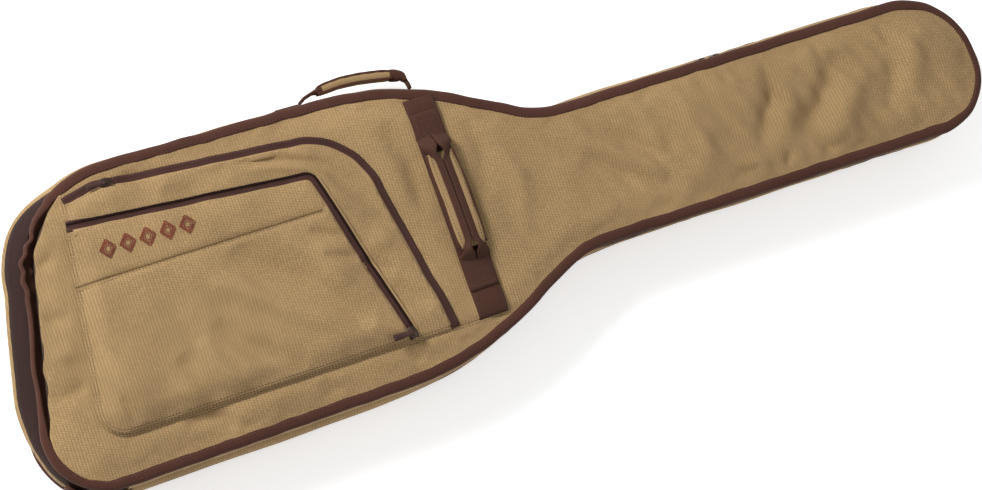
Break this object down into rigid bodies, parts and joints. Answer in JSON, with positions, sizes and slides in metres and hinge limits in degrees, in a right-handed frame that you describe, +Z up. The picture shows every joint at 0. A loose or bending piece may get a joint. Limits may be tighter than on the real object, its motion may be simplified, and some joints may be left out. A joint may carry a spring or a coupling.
{
  "type": "gig bag",
  "caption": "Soft padded gig bag for an electric bass, with a hinged lid on a long zip, two flat front pockets, a waist handle, a side handle and stowed shoulder straps.",
  "frame": {"origin": "on the surface the bag lies on, under the middle of its length and width", "axes": "+X along the bag towards the neck end, +Y towards the side with the carry handle, +Z up out of the front"},
  "size_m": [1.2737, 0.4019, 0.1152],
  "materials": {
    "tan_fabric": "woven polyester with a fine raised rib",
    "brown_binding": "folded bias binding",
    "brown_webbing": "ribbed webbing",
    "zip_tape": "woven zip tape",
    "zip_teeth": "coil zip",
    "bronze_metal": "dark antique bronze",
    "pull_tab": "stitched tape",
    "foam": "closed-cell foam",
    "lining": "brushed plush lining",
    "padding_cover": "brushed plush over foam",
    "hook_strap": "hook-and-loop strap",
    "buckle_plastic": "moulded acetal",
    "rust_thread": "satin-stitch thread"
  },
  "bodies": {
    "bag_base": {"back_panel_outer": "tan_fabric", "back_panel_foam": "foam", "back_panel_lining": "lining", "back_binding": "brown_binding", "gusset_outer": "tan_fabric", "gusset_foam": "foam", "gusset_lining": "lining", "gusset_hinge_strip": "tan_fabric", "main_zip_rear_tape": "zip_tape", "main_zip_rear_teeth": "zip_teeth", "zip_end_patch": "brown_binding", "end_bumper": "padding_cover", "neck_cradle": "padding_cover", "neck_strap_base": "hook_strap", "side_handle_anchors": "brown_webbing", "strap_top_patch": "tan_fabric", "shoulder_pad_left": "tan_fabric", "shoulder_pad_right": "tan_fabric", "shoulder_webbing_left": "brown_webbing", "shoulder_webbing_right": "brown_webbing", "strap_anchor_left": "brown_webbing", "strap_anchor_right": "brown_webbing"},
    "lid": {"front_panel_outer": "tan_fabric", "front_panel_foam": "foam", "front_panel_lining": "lining", "front_binding": "brown_binding", "lid_hinge_strip": "tan_fabric", "main_zip_front_tape": "zip_tape", "main_zip_front_teeth": "zip_teeth", "waist_webbing": "brown_webbing", "front_handle_anchors": "brown_webbing", "large_pocket_hem": "tan_fabric", "large_pocket_zip": "zip_tape", "large_pocket_panel": "tan_fabric", "small_pocket_hem": "tan_fabric", "small_pocket_zip": "zip_tape", "small_pocket_panel": "tan_fabric", "small_pocket_top_band": "tan_fabric", "embroidered_ornament": "rust_thread"},
    "main_slider_a": {"main_slider_a": "bronze_metal"},
    "main_pull_a": {"main_pull_a": "bronze_metal"},
    "main_slider_b": {"main_slider_b": "bronze_metal"},
    "main_pull_b": {"main_pull_b": "bronze_metal"},
    "large_pocket_slider": {"large_pocket_slider": "bronze_metal"},
    "large_pocket_pull": {"large_pocket_pull": "pull_tab"},
    "small_pocket_slider": {"small_pocket_slider": "bronze_metal"},
    "small_pocket_pull": {"small_pocket_pull": "pull_tab"},
    "front_handle": {"front_handle_grip": "tan_fabric", "front_handle_webbing": "brown_webbing"},
    "side_handle": {"side_handle_grip": "tan_fabric", "side_handle_webbing": "brown_webbing"},
    "neck_strap_flap": {"neck_strap_flap": "hook_strap"},
    "ladder_lock_left": {"ladder_lock_left": "buckle_plastic"},
    "ladder_lock_right": {"ladder_lock_right": "buckle_plastic"}
  },
  "joints": [
    {"name": "bag_lid_hinge", "type": "hinge", "parent": "bag_base", "child": "lid", "pos_m": [0, -0.1935, 0.062], "axis": [1, 0, 0], "range_deg": [0, 180]},
    {"name": "main_zip_slide_a", "type": "slide", "parent": "bag_base", "child": "main_slider_a", "axis": [-1, 0, 0], "range_m": [0, 0.17]},
    {"name": "main_zip_slide_b", "type": "slide", "parent": "bag_base", "child": "main_slider_b", "axis": [1, 0, 0], "range_m": [0, 0.2]},
    {"name": "main_pull_swing_a", "type": "hinge", "parent": "main_slider_a", "child": "main_pull_a", "pos_m": [0.286, 0.0964, 0.062], "axis": [1, 0, 0], "range_deg": [0, 150]},
    {"name": "main_pull_swing_b", "type": "hinge", "parent": "main_slider_b", "child": "main_pull_b", "pos_m": [0.306, 0.0964, 0.062], "axis": [1, 0, 0], "range_deg": [0, 150]},
    {"name": "large_pocket_zip_slide", "type": "slide", "parent": "lid", "child": "large_pocket_slider", "axis": [0.9963, -0.0859, 0], "range_m": [0, 0.24]},
    {"name": "large_pocket_pull_swing", "type": "hinge", "parent": "large_pocket_slider", "child": "large_pocket_pull", "pos_m": [-0.47047, 0.15689, 0.1032], "axis": [0, 1, 0], "range_deg": [0, 150]},
    {"name": "small_pocket_zip_slide", "type": "slide", "parent": "lid", "child": "small_pocket_slider", "axis": [-0.2622, 0.965, 0], "range_m": [0, 0.18]},
    {"name": "small_pocket_pull_swing", "type": "hinge", "parent": "small_pocket_slider", "child": "small_pocket_pull", "pos_m": [-0.18272, -0.11846, 0.1106], "axis": [0, 1, 0], "range_deg": [0, 150]},
    {"name": "front_handle_swing", "type": "hinge", "parent": "lid", "child": "front_handle", "pos_m": [-0.083, 0, 0.094], "axis": [0, 1, 0], "range_deg": [-15, 15]},
    {"name": "carry_handle_swing", "type": "hinge", "parent": "bag_base", "child": "side_handle", "pos_m": [-0.209, 0.1874, 0.027], "axis": [0.9876, -0.1571, 0], "range_deg": [-50, 50]},
    {"name": "neck_strap_flap_hinge", "type": "hinge", "parent": "bag_base", "child": "neck_strap_flap", "pos_m": [0.464, -0.034, 0.0365], "axis": [1, 0, 0], "range_deg": [0, 95]},
    {"name": "strap_lock_slide_left", "type": "slide", "parent": "bag_base", "child": "ladder_lock_left", "axis": [-0.9925, 0.1219, 0], "range_m": [0, 0.1]},
    {"name": "strap_lock_slide_right", "type": "slide", "parent": "bag_base", "child": "ladder_lock_right", "axis": [-0.9925, -0.1219, 0], "range_m": [0, 0.1]}
  ]
}
